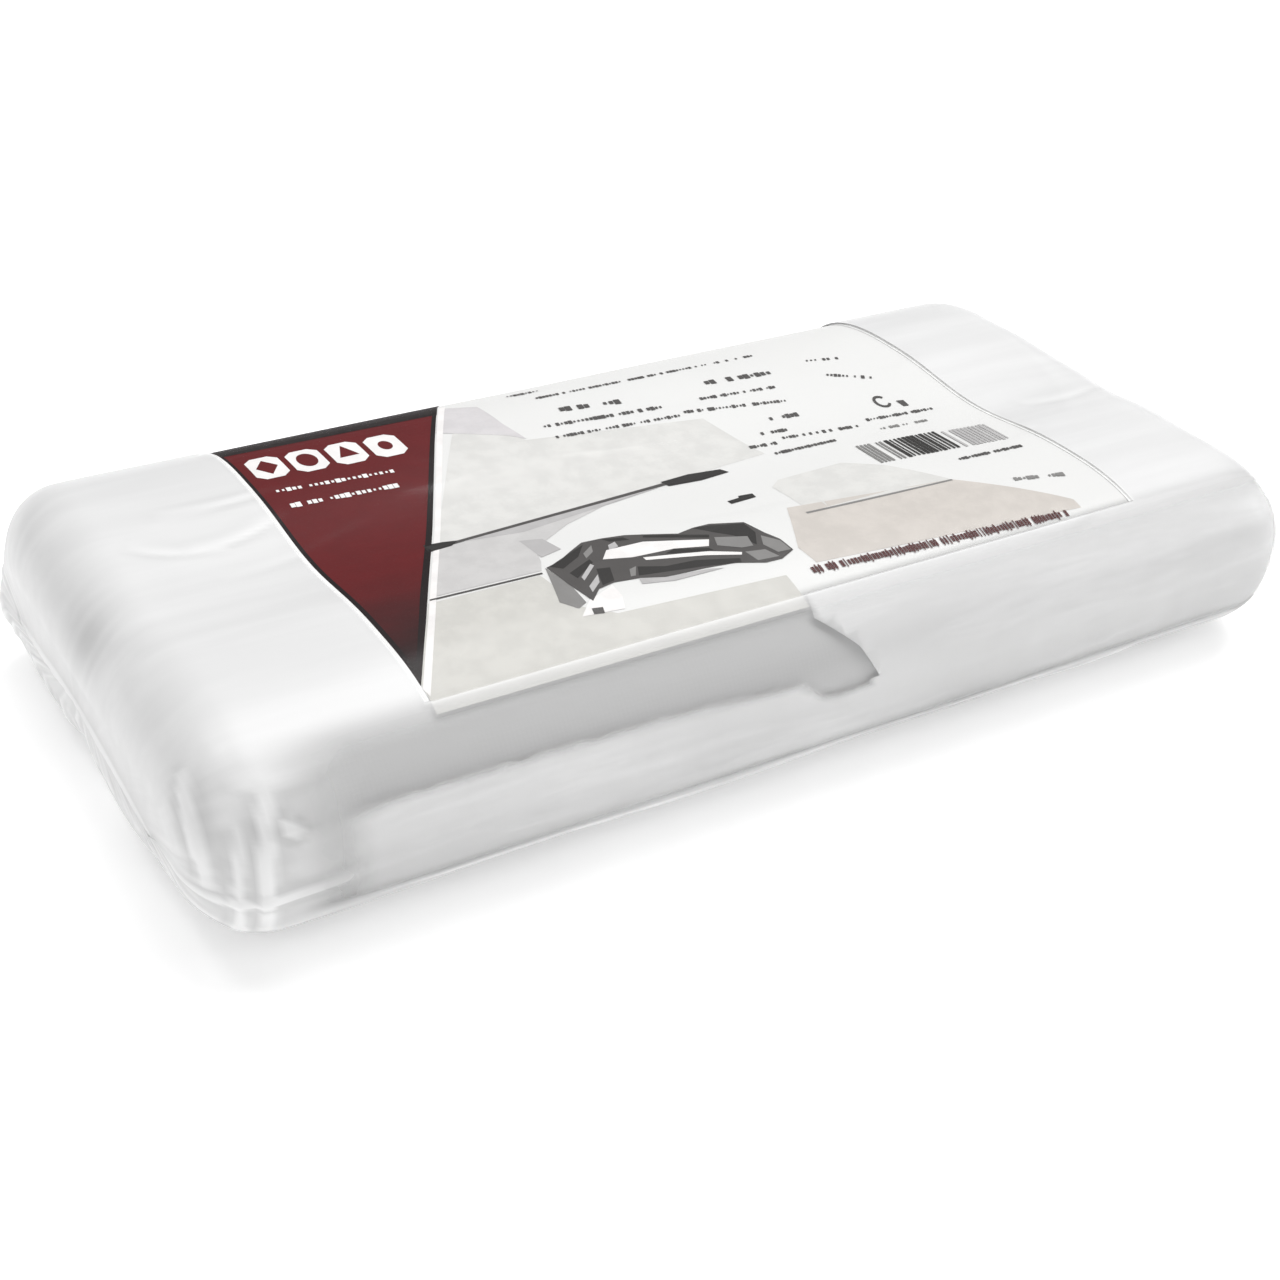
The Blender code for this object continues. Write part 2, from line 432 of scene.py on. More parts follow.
# The clear film: one closed skin, gathered into a flat seam at each end
outerArc = float(arcOfPoint[np.argmin(outlines[0][:, 0])])  # of the pack's outer side, in front
outerSide = outerArc / mm
cardFront = arcAt(cardLow.y, -1)
cardRear = arcAt(cardHigh.y, 1)
filmSettings = {
    "halfColumns": 160,  # from one outer side to the other, over the top and again below
    "bodyRows": 170,
    "roundRows": 18,
    "endRows": 13,
    "seamHalf": 35 * mm,
    "seamDrop": 2.6 * mm,  # how far the seam lies below the middle height
    "seamLift": 2.2 * mm,  # how far it climbs again between the rolls
    "gatherPitch": 5.2 * mm,
    "gatherHeight": 0.34 * mm,
    "gatherReach": 20 * mm,
    "depth": 0.30 * mm,  # of the tight skin, so that the folds end near the pack's outer size
    "crumpleHeight": 0.24 * mm,
    "broadHeight": 0.22 * mm,
    "haze": 0.88,
    "windowHaze": 0.07,
    "frontWindow": (-102 * mm, 106 * mm, cardFront, outerArc + 7 * mm),  # by run, then by arc
    "cardOverlap": 0.8 * mm,  # how far the milky film reaches over the card's right edge
    "seed": 5,
    "pulls": [  # single folds: from run and arc, to run and arc, width, height, in mm
        (-97, -15.5, -81, -8.5, 1.3, 0.10),
        (-88, -11.0, -67, -15.0, 1.4, 0.13),
        (-100, 53, -103, outerSide + 12, 1.2, 0.45),
        (-104.5, 57, -106.5, outerSide + 16, 0.9, 0.38),
        (-98.6, outerSide - 10, -96.4, outerSide - 6.5, 0.8, 0.45),
        (-110, outerSide - 24, -112, outerSide + 2, 1.1, 0.40),
    ],
    "swells": [  # where the ends bulge or draw in: run, arc, spans along both, height, in mm
        (-111.5, 8 - outerSide, 8, 10, -1.1),
        (-111.5, -outerSide - 13, 8, 8, 1.5),
        (-110.0, outerSide + 26, 9, 15, -1.5),
        (-111.5, 0, 7, 10, -1.3),
        (109.0, 30, 8, 13, -1.1),
        (109.0, -3, 8, 9, 0.8),
        (109.0, -31, 8, 8, -0.5),
    ],
    # Random folds: count, reach along the pack, half length, distance from the side, tilt, width, height
    "sideFolds": [
        (34, 95, (9, 34), (1, 33), 1.6, (0.5, 1.2), (0.16, 0.52)),
        (12, 95, (8, 26), (-22, 2), 2.4, (0.8, 1.8), (0.05, 0.16)),
    ],
    "sagFolds": (16, 98, (6, 18), (-26, 26), 3.5, (0.8, 1.8), (0.05, 0.14)),
}


def randomFolds(run, arc, rng, folds, fromArc, side):
    # Long folds roughly along the pack; the order of the draws decides where each one lies
    count, reach, halves, starts, tilts, widths, heights = folds
    lift = 0.0
    for _ in range(count):
        middle = rng.uniform(-reach, reach) * mm
        half = rng.uniform(*halves) * mm
        start = fromArc + rng.uniform(*starts) * mm
        tilt = rng.normal(0, tilts) * mm
        width, height = rng.uniform(*widths) * mm, rng.uniform(*heights) * mm
        ends = (middle - half, side * start), (middle + half, side * (start + tilt))
        lift = lift + crease(run, arc, *ends, width, height)
    return lift


def filmLift(run, arc):
    # Height of the folds above the tight skin
    f = filmSettings
    end = abs(run)
    rng = np.random.default_rng(f["seed"])
    broad = f["broadHeight"] * patchNoise(run, arc, 34 * mm, 13 * mm, 11)
    reach = f["gatherReach"] * (0.35 + 1.3 * patchNoise(run * 0, arc, 1, 9 * mm, 12))
    near = fade(end, straightHalf + 6 * mm - reach, halfLength + 3 * mm)
    gathers = ridged(patchNoise(run * 0.5, arc, 45 * mm, f["gatherPitch"], 13), 1.8)
    fine = ridged(patchNoise(run, arc, 16 * mm, f["gatherPitch"] * 0.42, 14), 1.5)
    below = 0.14 + 0.86 * fade(abs(arc), outerArc - 26 * mm, outerArc + 10 * mm)
    lift = broad + near * below * f["gatherHeight"] * (gathers + 0.3 * fine)
    low = fade(abs(arc), outerArc + 6 * mm, outerArc + 24 * mm)
    low = low * fade(end, straightHalf - 12 * mm, halfLength)
    crumple = ridged(patchNoise(run, arc, 7.5 * mm, 6.5 * mm, 15))
    crumple = crumple * patchNoise(run, arc, 4 * mm, 4 * mm, 16)
    lift = lift + f["crumpleHeight"] * low * crumple
    for side in (1, -1):
        for folds in f["sideFolds"]:
            lift = lift + randomFolds(run, arc, rng, folds, outerArc, side)
    lift = lift + randomFolds(run, arc, rng, f["sagFolds"], 0.0, 1)
    for x, y, toX, toY, width, height in f["pulls"]:
        lift = lift + crease(run, arc, (x * mm, y * mm), (toX * mm, toY * mm), width * mm, height * mm)
    for x, y, spanX, spanY, height in f["swells"]:
        away = (arc - y * mm + girth / 2) % girth - girth / 2
        swell = np.exp(-(((run - x * mm) / (spanX * mm)) ** 2) - (away / (spanY * mm)) ** 2)
        lift = lift + height * mm * swell
    return lift


def filmHaze(run, arc):
    # Milkiness off the card: half clear on the front just below it, and milky elsewhere
    f = filmSettings
    left, right, low, high = f["frontWindow"]
    inWindow = fade(run, left, left + 18 * mm) * (1 - fade(run, right, right + 8 * mm))
    inWindow = inWindow * fade(arc, low - 3 * mm, low + 6 * mm) * (1 - fade(arc, high, high + 5 * mm))
    return f["haze"] * (1 - inWindow) + f["windowHaze"] * inWindow


def filmRuns():
    # Run of each row, and its share of the way from the end's rim to the seam
    f = filmSettings
    body = np.linspace(0, straightHalf, f["bodyRows"] // 2 + 1)
    rounding = straightHalf + endRadius * np.linspace(0, math.pi / 2, f["roundRows"] + 1)[1:]
    half = np.concatenate([body, rounding])
    share = np.zeros(len(half))
    inwards = np.linspace(0, 1, f["endRows"] + 1)[1:]
    half = np.concatenate([half, half[-1] + inwards * endRadius * 0.45])
    share = np.concatenate([share, inwards])
    return np.concatenate([-half[:0:-1], half]), np.concatenate([share[:0:-1], share])


def toSeam(points, share, chain):
    # Draws the end rows in to the flat seam, by their share of the way
    f = filmSettings
    seamY = f["seamHalf"] * np.concatenate([1 - 2 * chain, 2 * chain - 1])
    climb = f["seamLift"] * np.cos(np.clip(seamY / lobeY, -1, 1) * math.pi / 2) ** 2
    seamZ = lobeZ - f["seamDrop"] + climb
    points[..., 1] = points[..., 1] * (1 - share) + seamY * share
    points[..., 2] = points[..., 2] * (1 - share) + seamZ * share


def filmFaces(rows, columns, count):
    # The upper and lower halves of the first and last rows share their corners, which closes the skin
    merged = np.arange(rows * columns).reshape(rows, columns)
    for row in (0, rows - 1):
        for j in range(1, count):
            merged[row, columns - j] = merged[row, j]
    faces = []
    for face in gridFaces(rows, columns, closed=True):
        corners = [int(merged.flat[n]) for n in face]
        corners = [c for n, c in enumerate(corners) if c not in corners[:n]]
        if len(corners) > 2:
            faces.append(tuple(corners))
    return faces


def addFilmMasks(film, run, arc, lift):
    addAttribute(film, "haze", filmHaze(run, arc).ravel())
    acrossEdge = np.maximum(arc - cardFront, cardRear - arc)
    alongEdge = np.maximum(cardLow.x - run, run - cardHigh.x + filmSettings["cardOverlap"])
    toEdge = np.maximum(acrossEdge, alongEdge)  # plus is off the card
    addAttribute(film, "toEdge", (toEdge / mm).ravel())
    # fold marks crests, where the film is milkier and its colour carries a painted highlight; hollow marks
    # the valleys between folds, darkened as painted shade
    bend = 2 * lift - 0.5 * (np.roll(lift, 2, 1) + np.roll(lift, -2, 1))
    bend[2:-2] -= 0.5 * (lift[4:] + lift[:-4])
    addAttribute(film, "fold", np.clip(bend / (0.22 * mm), 0, 1).ravel())
    addAttribute(film, "hollow", np.clip(-bend / (0.16 * mm), 0, 1).ravel())


def dropLoose(obj):
    bm = bmesh.new()
    bm.from_mesh(obj.data)
    loose = [v for v in bm.verts if not v.link_faces]
    bmesh.ops.delete(bm, geom=loose, context="VERTS")
    bm.to_mesh(obj.data)
    bm.free()


def makeFilm(look):
    f = filmSettings
    count = f["halfColumns"]
    chain = np.arange(count) / count
    over = -outerArc + 2 * outerArc * chain
    under = outerArc + (girth - 2 * outerArc) * chain
    arcs = (np.concatenate([over, under]) + girth / 2) % girth - girth / 2
    runs, share = filmRuns()
    share = (share**0.9)[:, None]
    run, arc = np.meshgrid(runs, arcs, indexing="ij")
    points = onPack(run, arc, f["depth"])
    toSeam(points, share, chain)
    endwards = np.zeros_like(points)
    endwards[..., 0] = np.sign(run)
    onEnd = (abs(run) > straightHalf + endRadius * 1.4)[..., None]
    normals = np.where(onEnd, endwards, outwards(run, arc, f["depth"]))
    lift = filmLift(run, arc)
    lift = lift * (1 - 0.55 * share) + 0.5 * mm * share**6
    points = points + normals * lift[..., None]
    points[..., 2] = np.maximum(points[..., 2], 0.0)
    film = makeMesh("shrinkFilm", points.reshape(-1, 3), filmFaces(*run.shape, count), [look])
    addFilmMasks(film, run, arc, lift)
    dropLoose(film)
    return film


film = makeFilm(clearFilmLook())
print("film skin", len(film.data.polygons), "faces")


# Shapes drawn flat in run and arc, cut into small cells and bent onto the pack
def cutShape(bm, outlinePoints, lookIndex, cell, level):
    corners = [bm.verts.new((x, y, 0)) for x, y in outlinePoints]
    face = bm.faces.new(corners)
    face.normal_update()
    if face.normal.z > 0:  # arc runs towards the front, so the outer side looks down in the flat drawing
        face.normal_flip()
    geometry = [face] + list(face.edges) + corners
    lows = [min(p[k] for p in outlinePoints) for k in (0, 1)]
    highs = [max(p[k] for p in outlinePoints) for k in (0, 1)]
    for axis in (0, 1):
        first = math.floor(lows[axis] / cell[axis]) + 1
        last = math.ceil(highs[axis] / cell[axis])
        for n in range(first, last):
            origin, direction = [0, 0, 0], [0, 0, 0]
            origin[axis], direction[axis] = n * cell[axis], 1
            cut = bmesh.ops.bisect_plane(bm, geom=geometry, plane_co=origin, plane_no=direction)
            geometry = cut["geom"]
    for item in geometry:
        if isinstance(item, bmesh.types.BMFace):
            item.material_index = lookIndex
        if isinstance(item, bmesh.types.BMVert):
            item.co.z = level


def bentObject(name, bm, bend, looks, smooth=True):
    # The flat drawing as an object with each corner where bend puts it, and the corners' flat places
    bmesh.ops.triangulate(bm, faces=bm.faces)
    mesh = bpy.data.meshes.new(name)
    bm.to_mesh(mesh)
    bm.free()
    flat = np.zeros(len(mesh.vertices) * 3)
    mesh.vertices.foreach_get("co", flat)
    flat = flat.reshape(-1, 3).T
    mesh.vertices.foreach_set("co", bend(*flat).ravel())
    return makeObject(name, mesh, looks, smooth), flat


# The second ply of film low on the front and over its right half, with a turned-down corner
lapSettings = {
    "depth": 0.52 * mm,
    "edge": [(-94, -8.7), (-28, -8.0), (-7.2, -6.6)],  # run and arc from the pack's outer side, in mm
    "corner": [(-2.0, -2.6), (8.6, -3.1), (4.9, -9.6), (-1.7, -16.5)],  # the turned-down corner
    "slantTop": (-0.6, -18.3),  # where the corner's slanted edge meets the card
    "waver": 0.45 * mm,
    "soft": 3.2 * mm,  # how far the edge takes to show
    "right": 112 * mm,
    "topArc": cardFront - 0.3 * mm,
    "bottomArc": outerArc + 36 * mm,
    "cell": (3.0 * mm, 2.0 * mm),
}


def makeLap(look):
    s = lapSettings
    edgeRun, edgeArc = np.array(s["edge"]).T * mm
    steps = np.linspace(edgeRun[0], edgeRun[-1], 70)
    waver = s["waver"] * (np.sin(steps * 950 + 2.2 * np.sin(steps * 90)) + np.sin(steps * 410 + 1.0)) / 1.5
    waver[0] = 0
    arcs = outerArc + np.interp(steps, edgeRun, edgeArc) + waver
    points = [(edgeRun[0], s["bottomArc"])] + list(zip(steps.tolist(), arcs.tolist()))
    points += [(x * mm, outerArc + y * mm) for x, y in s["corner"]]
    points += [(s["slantTop"][0] * mm, s["topArc"]), (s["right"], s["topArc"]), (s["right"], s["bottomArc"])]
    bm = bmesh.new()
    cutShape(bm, points, 0, s["cell"], 0)

    def onLap(run, arc, unused):
        lift = 0.12 * mm * ridged(patchNoise(run, arc, 30 * mm, 4 * mm, 31))
        return onPack(run, arc, s["depth"]) + outwards(run, arc, s["depth"]) * lift[:, None]

    made, flat = bentObject("filmLap", bm, onLap, [look])
    run, arc = flat[0], flat[1]
    lower = np.array(s["edge"] + s["corner"][:2]).T * mm
    below = arc - outerArc - np.interp(run, *lower)
    slant = np.array([s["slantTop"]] + s["corner"][:0:-1]).T * mm
    beside = run - np.interp(arc - outerArc, slant[1], slant[0])
    shown = np.maximum(fade(below, -0.4 * mm, s["soft"]), fade(beside, -1.0 * mm, -0.2 * mm))
    addAttribute(made, "shown", shown * fade(run, edgeRun[0], edgeRun[0] + 14 * mm))
    addWall(made, "ply", 0.05 * mm)
    return made


lap = makeLap(lapFilmLook())
print("film lap", len(lap.data.polygons), "faces")


# The rolls: many turns of milky film, their tail held by the tape
rollSettings = {
    "columns": 180,
    "bodyRows": 26,
    "roundRows": 18,
    "turns": 26,
    "turnDepth": 0.16 * mm,
    "eyeHalf": (9.0 * mm, 1.7 * mm),
    "tailStep": 0.22 * mm,
    "tailDegrees": -142,
    "shoulder": 12.6 * mm,
    "seed": 21,
}


def rollRows():
    # x, inset and share of the way from the rim to the eye, for one half of the roll
    s = rollSettings
    radius = s["shoulder"]
    half = rollHigh.x
    rows = [(x, 0.0, 0.0) for x in np.linspace(0, half - radius, s["bodyRows"] // 2 + 1)]
    for turn in np.linspace(0, math.pi / 2, s["roundRows"] + 1)[1:]:
        rows.append((half - radius + radius * math.sin(turn), radius * (1 - math.cos(turn)), 0.0))
    for share in np.linspace(0, 1, s["turns"] + 1)[1:]:
        rows.append((half, radius, share))
    return rows


def makeRoll(name, side, look):
    s = rollSettings
    rng = np.random.default_rng(s["seed"] + side)
    rollHalfWidth, rollHalfHeight = (rollHigh.y - rollLow.y) / 2, (rollHigh.z - rollLow.z) / 2
    centreZ = (rollLow.z + rollHigh.z) / 2
    degrees = np.linspace(0, 360, s["columns"], endpoint=False)
    behind = (degrees - s["tailDegrees"]) % 360
    step = s["tailStep"] * (behind / 360)  # the surface winds inwards and jumps out at the tail
    eyeY, eyeZ = oval(*s["eyeHalf"], degrees)
    half = rollRows()
    order = [(-x, inset, share) for x, inset, share in half[:0:-1]] + half
    points, turnsMask, uvs = [], [], []
    jitter = rng.normal(0, 1, len(order))
    for row, (x, inset, share) in enumerate(order):
        y, z = oval(rollHalfWidth - inset, rollHalfHeight - inset, degrees)
        shrink = 1 - step / rollHalfWidth
        y, z = y * shrink, z * shrink
        y, z = y * (1 - share) + eyeY * share, z * (1 - share) + eyeZ * share
        onEnd = inset > 0.3 * mm
        groove = onEnd * (s["turnDepth"] * (0.5 + 0.5 * (row % 2)) + 0.05 * mm * abs(jitter[row]))
        xs = np.full(len(y), x - np.sign(x) * groove)
        zs = np.maximum(centreZ + z, rollLow.z + inset)
        points.append(np.stack([xs, side * (lobeY + y), zs], -1))
        turnsMask.append(np.full(len(y), 0.75 * (row % 2) * onEnd + 0.25 * (share > 0)))
        uvs.append(np.stack([np.full(len(y), x + share * 0.02), np.radians(degrees) * 0.022], -1))
    points = np.array(points)
    rows, columns = points.shape[:2]
    faces = gridFaces(rows, columns, closed=True)
    last = (rows - 1) * columns
    for j in range(columns):  # the eye runs right through
        k = (j + 1) % columns
        faces.append((last + j, last + k, k, j))
    if side > 0:
        faces = [face[::-1] for face in faces]
    roll = makeMesh(name, points.reshape(-1, 3), faces, [look])
    addAttribute(roll, "turns", np.array(turnsMask).ravel())
    layer = roll.data.uv_layers.new(name="filmUV")
    index = np.zeros(len(roll.data.loops), int)
    roll.data.loops.foreach_get("vertex_index", index)
    layer.data.foreach_set("uv", np.array(uvs).reshape(-1, 2)[index].ravel())
    bm = bmesh.new()
    bm.from_mesh(roll.data)
    bmesh.ops.recalc_face_normals(bm, faces=bm.faces)
    bm.to_mesh(roll.data)
    bm.free()
    roll.data.set_sharp_from_angle(angle=math.radians(55))
    return roll


milkyFilm = milkyFilmLook()
frontRoll = makeRoll("frontFilmRoll", -1, milkyFilm)
rearRoll = makeRoll("rearFilmRoll", 1, milkyFilm)
print("rolls", len(frontRoll.data.polygons) * 2, "faces")


# The printed card, curved over both crowns just under the film
cardSettings = {
    "thickness": 0.24 * mm,
    "buckle": 0.16 * mm,
    "cell": 2.0 * mm,
}
cardLength = cardHigh.x - cardLow.x
print("card arcs", round(cardRear / mm, 1), round(cardFront / mm, 1))


def onCard(run, arc, lift=0.0):
    depth = packSection["cardDepth"]
    buckle = cardSettings["buckle"] * patchNoise(run, arc, 30 * mm, 22 * mm, 41)
    return onPack(run, arc, depth) + outwards(run, arc, depth) * (buckle + lift)[:, None]


def makeCard(look):
    s = cardSettings
    columns = round(cardLength / s["cell"]) + 1
    rows = round((cardFront - cardRear) / s["cell"]) + 1
    along = np.linspace(cardLow.x, cardHigh.x, columns)
    acrossTops = np.linspace(cardRear, cardFront, rows)
    run, arc = np.meshgrid(along, acrossTops, indexing="ij")
    card = makeMesh("labelCard", onCard(run.ravel(), arc.ravel()), gridFaces(columns, rows), [look])
    addWall(card, "board", s["thickness"])
    return card


card = makeCard(cardLook())
print("card")


# The print on the card. Places are in millimetres: along the card from its left edge, and round it by arc
def markRowTree():
    tree = bpy.data.node_groups.new("markRow", "GeometryNodeTree")
    tree.is_modifier = True
    wanted = [("Count", "NodeSocketInt", 20), ("Pitch", "NodeSocketFloat", 1.0)]
    wanted += [("Width Low", "NodeSocketFloat", 0.4), ("Width High", "NodeSocketFloat", 0.9)]
    wanted += [("Height Low", "NodeSocketFloat", 0.8), ("Height High", "NodeSocketFloat", 1.2)]
    wanted += [("Gaps", "NodeSocketFloat", 0.15), ("Seed", "NodeSocketInt", 1)]
    for name, kind, value in wanted:
        tree.interface.new_socket(name, in_out="INPUT", socket_type=kind).default_value = value
    tree.interface.new_socket("Marks", in_out="OUTPUT", socket_type="NodeSocketGeometry")
    nodes, links = tree.nodes, tree.links
    given = nodes.new("NodeGroupInput")
    result = nodes.new("NodeGroupOutput")
    line = nodes.new("GeometryNodeMeshLine")
    offset = nodes.new("ShaderNodeCombineXYZ")
    links.new(given.outputs["Pitch"], offset.inputs[0])
    links.new(given.outputs["Count"], line.inputs["Count"])
    links.new(offset.outputs[0], line.inputs["Offset"])
    skip = nodes.new("FunctionNodeRandomValue")
    skip.data_type = "BOOLEAN"
    links.new(given.outputs["Gaps"], skip.inputs["Probability"])
    links.new(given.outputs["Seed"], skip.inputs["Seed"])
    clear = nodes.new("GeometryNodeDeleteGeometry")
    links.new(line.outputs[0], clear.inputs["Geometry"])
    links.new(skip.outputs[3], clear.inputs["Selection"])
    size = nodes.new("ShaderNodeCombineXYZ")
    for axis, word in enumerate(("Width", "Height")):
        spread = nodes.new("FunctionNodeRandomValue")
        links.new(given.outputs[word + " Low"], spread.inputs[2])
        links.new(given.outputs[word + " High"], spread.inputs[3])
        links.new(given.outputs["Seed"], spread.inputs["Seed"])
        links.new(spread.outputs[1], size.inputs[axis])
    size.inputs[2].default_value = 1
    mark = nodes.new("GeometryNodeMeshGrid")
    for key, value in (("Size X", 1), ("Size Y", 1), ("Vertices X", 2), ("Vertices Y", 2)):
        mark.inputs[key].default_value = value
    put = nodes.new("GeometryNodeInstanceOnPoints")
    links.new(clear.outputs[0], put.inputs["Points"])
    links.new(mark.outputs[0], put.inputs["Instance"])
    links.new(size.outputs[0], put.inputs["Scale"])
    real = nodes.new("GeometryNodeRealizeInstances")
    links.new(put.outputs[0], real.inputs[0])
    links.new(real.outputs[0], result.inputs[0])
    return tree


def markRow(tree, sizes):
    # Marks of random width in a row along X, as plain corner lists in millimetres
    holder = bpy.data.objects.new("markRow", bpy.data.meshes.new("markRow"))
    bpy.context.scene.collection.objects.link(holder)
    modifier = holder.modifiers.new("marks", "NODES")
    modifier.node_group = tree
    for item in tree.interface.items_tree:
        if item.in_out == "INPUT" and item.name in sizes:
            modifier[item.identifier] = sizes[item.name]
    bpy.context.view_layer.update()
    evaluated = holder.evaluated_get(bpy.context.evaluated_depsgraph_get())
    mesh = bpy.data.meshes.new_from_object(evaluated)
    marks = []
    for polygon in mesh.polygons:
        corners = [mesh.vertices[i].co for i in polygon.vertices]
        marks.append([(c.x, c.y) for c in corners])
    bpy.data.objects.remove(holder)
    bpy.data.meshes.remove(mesh)
    return marks


inkColours = {
    "maroonInk": (0.120, 0.0040, 0.0060),
    "deepMaroonInk": (0.007, 0.002, 0.0024),
    "boldInk": (0.075, 0.012, 0.012),
    "whiteInk": (0.90, 0.88, 0.87),
    "blackInk": (0.030, 0.028, 0.027),
    "charcoalInk": (0.085, 0.080, 0.078),
    "steelInk": (0.25, 0.245, 0.24),
    "silverInk": (0.50, 0.49, 0.49),
    "mistInk": (0.72, 0.715, 0.695),
    "sandInk": (0.635, 0.595, 0.555),
    "oatInk": (0.645, 0.635, 0.60),
    "paleInk": (0.67, 0.65, 0.66),
    "wedgeInk": (0.61, 0.60, 0.595),
    # Also painted light: brightens the card's right edge
    "borderInk": (0.96, 0.96, 0.95),
}

printShapes = [  # ink, layer, outline
    ("mistInk", 0, [(22, 5.0), (46.5, -37), (54, -22), (90, -16), (94, 0), (71, 1.9)]),
    ("oatInk", 0, [
        (1.2, 43), (11.5, 24), (32, 24.2), (33.4, 36), (38, 40), (70, 42), (70, 49.8), (1, 49.8),
    ]),
    ("mistInk", 0, [(86, 14), (89, 11.6), (104, 11), (110, 16.5), (117, 27.6), (86, 26)]),
    ("sandInk", 0, [(83, 23), (117, 27.7), (134, 43), (134, 45.4), (77, 41), (76.5, 36)]),
    ("paleInk", 1, [
        (39.8, -32), (46.6, -44.6), (48.5, -43.2), (52.8, -40.4), (53.1, -29.9), (54.3, -22.4),
        (51.5, -25.1),
    ]),
    ("wedgeInk", 1, [
        (21, 6.2), (26, 5.6), (58, 3.9), (46, 8.5), (36, 15), (34.5, 20), (33, 22.9), (12.8, 22.4),
    ]),
    ("silverInk", 2, [(25.7, 5.2), (38, 7.4), (69, 2.9), (50, 3.6)]),
    ("silverInk", 2, [(35.3, 10.4), (39.1, 11.8), (39.8, 17.4), (35.3, 18.6)]),
    ("steelInk", 2, [(85, 26.0), (117, 27.7), (117, 28.2), (85, 26.6)]),
    ("charcoalInk", 3, [(24.3, 4.7), (70.7, 1.7), (70.7, 2.7), (24.3, 5.6)]),
    ("charcoalInk", 2, [(12.3, 22.9), (32.7, 23.5), (32.7, 24.0), (12.1, 23.4)]),
    ("blackInk", 3, [(20.4, 3.4), (24.0, 3.9), (26.4, 4.6), (24.6, 6.0), (20.0, 6.4)]),
    ("blackInk", 3, [(69.8, 1.2), (76.0, 0.8), (82.6, 1.8), (83.4, 3.6), (77.0, 4.2), (70.3, 3.4)]),
    ("blackInk", 3, [(75.4, 15.2), (78.0, 15.0), (78.4, 14.2), (81.2, 14.6), (80.9, 16.3), (75.4, 16.6)]),
    # the dark packet, its shines and its clear corner
    ("steelInk", 1, [(34.0, 22.3), (35.0, 29.0), (34.7, 35.3), (32.7, 36.4), (30.7, 33.4)]),
    ("whiteInk", 2, [(35.4, 35.0), (41.2, 32.5), (41.1, 36.0), (39.7, 39.4), (32.1, 38.6)]),
    ("silverInk", 2, [(46.3, 32.6), (50.5, 34.3), (58.5, 35.2), (61.2, 36.1), (51.5, 35.9), (45.9, 34.4)]),
    ("charcoalInk", 3, [
        (34.2, 22.4), (36.9, 21.6), (40.5, 19.2), (44.0, 17.0), (47.8, 17.3), (51.9, 18.2), (54.8, 19.6),
        (60.3, 22.4), (63.8, 21.7), (67.1, 21.8), (72.9, 24.2), (74.0, 29.1), (75.2, 32.2), (75.3, 36.2),
        (72.0, 37.8), (68.7, 37.7), (63.8, 35.6), (58.3, 34.8), (50.6, 34.3), (46.4, 32.6), (41.9, 31.9),
        (38.6, 32.6), (35.9, 35.4), (34.8, 29.0),
    ]),
    ("whiteInk", 4, [
        (46.2, 21.8), (53.3, 22.1), (63.9, 26.8), (62.6, 28.8), (56.8, 26.8), (48.9, 26.1),
        (44.0, 24.4),
    ]),
    ("blackInk", 5, [(54.6, 20.0), (60.2, 22.9), (64.8, 25.4), (64.3, 26.2), (59.7, 23.8), (54.2, 20.7)]),
    ("blackInk", 4, [
        (63.6, 21.8), (66.8, 22.4), (72.6, 24.6), (72.6, 28.3), (70.4, 32.1), (68.6, 27.6),
        (66.1, 25.0),
    ]),
    ("steelInk", 5, [(65.1, 26.6), (70.5, 28.9), (69.6, 32.2), (67.4, 31.9), (64.0, 29.3)]),
    ("blackInk", 5, [(56.7, 26.9), (62.2, 29.4), (62.6, 30.4), (56.2, 28.2), (54.6, 27.6)]),
    ("whiteInk", 5, [
        (50.4, 27.0), (56.0, 28.6), (61.6, 30.4), (66.6, 33.2), (66.1, 33.9), (60.3, 31.3),
        (50.4, 28.0),
    ]),
    ("blackInk", 4, [
        (48.0, 29.2), (52.3, 31.3), (57.9, 31.9), (65.2, 34.7), (64.8, 35.9), (58.4, 34.3),
        (46.7, 31.9),
    ]),
    ("steelInk", 4, [(67.2, 33.3), (70.8, 34.1), (71.9, 37.0), (67.7, 36.6)]),
    ("steelInk", 4, [(72.8, 29.7), (74.9, 32.7), (75.0, 36.0), (72.4, 35.8), (71.4, 32.6)]),
    ("blackInk", 4, [(34.8, 22.4), (40.2, 19.7), (43.8, 17.9), (40.8, 21.6), (36.5, 24.1)]),
    ("steelInk", 5, [(42.1, 21.0), (44.9, 18.9), (43.9, 21.2), (41.7, 22.8)]),
    ("silverInk", 5, [(37.8, 28.0), (41.3, 24.8), (41.6, 25.6), (37.7, 29.2)]),
    ("blackInk", 4, [(36.7, 25.9), (42.0, 23.3), (42.0, 24.5), (37.1, 28.0)]),
    ("blackInk", 4, [(41.4, 26.7), (43.7, 27.3), (42.2, 31.4), (39.7, 31.9)]),
    ("silverInk", 5, [(37.5, 31.2), (40.7, 28.4), (39.7, 30.8), (37.1, 33.1)]),
    ("steelInk", 5, [(46.3, 29.4), (47.8, 29.0), (46.2, 31.7), (45.3, 31.6)]),
    ("silverInk", 4, [(47.4, 20.3), (49.1, 19.7), (48.7, 21.6), (46.7, 22.0)]),
    ("blackInk", 4, [(47.6, 17.7), (51.2, 18.9), (51.7, 20.3), (48.4, 19.2)]),
    ("charcoalInk", 3, [(34.6, 37.2), (36.5, 37.6), (36.0, 39.2), (34.2, 38.8)]),
]

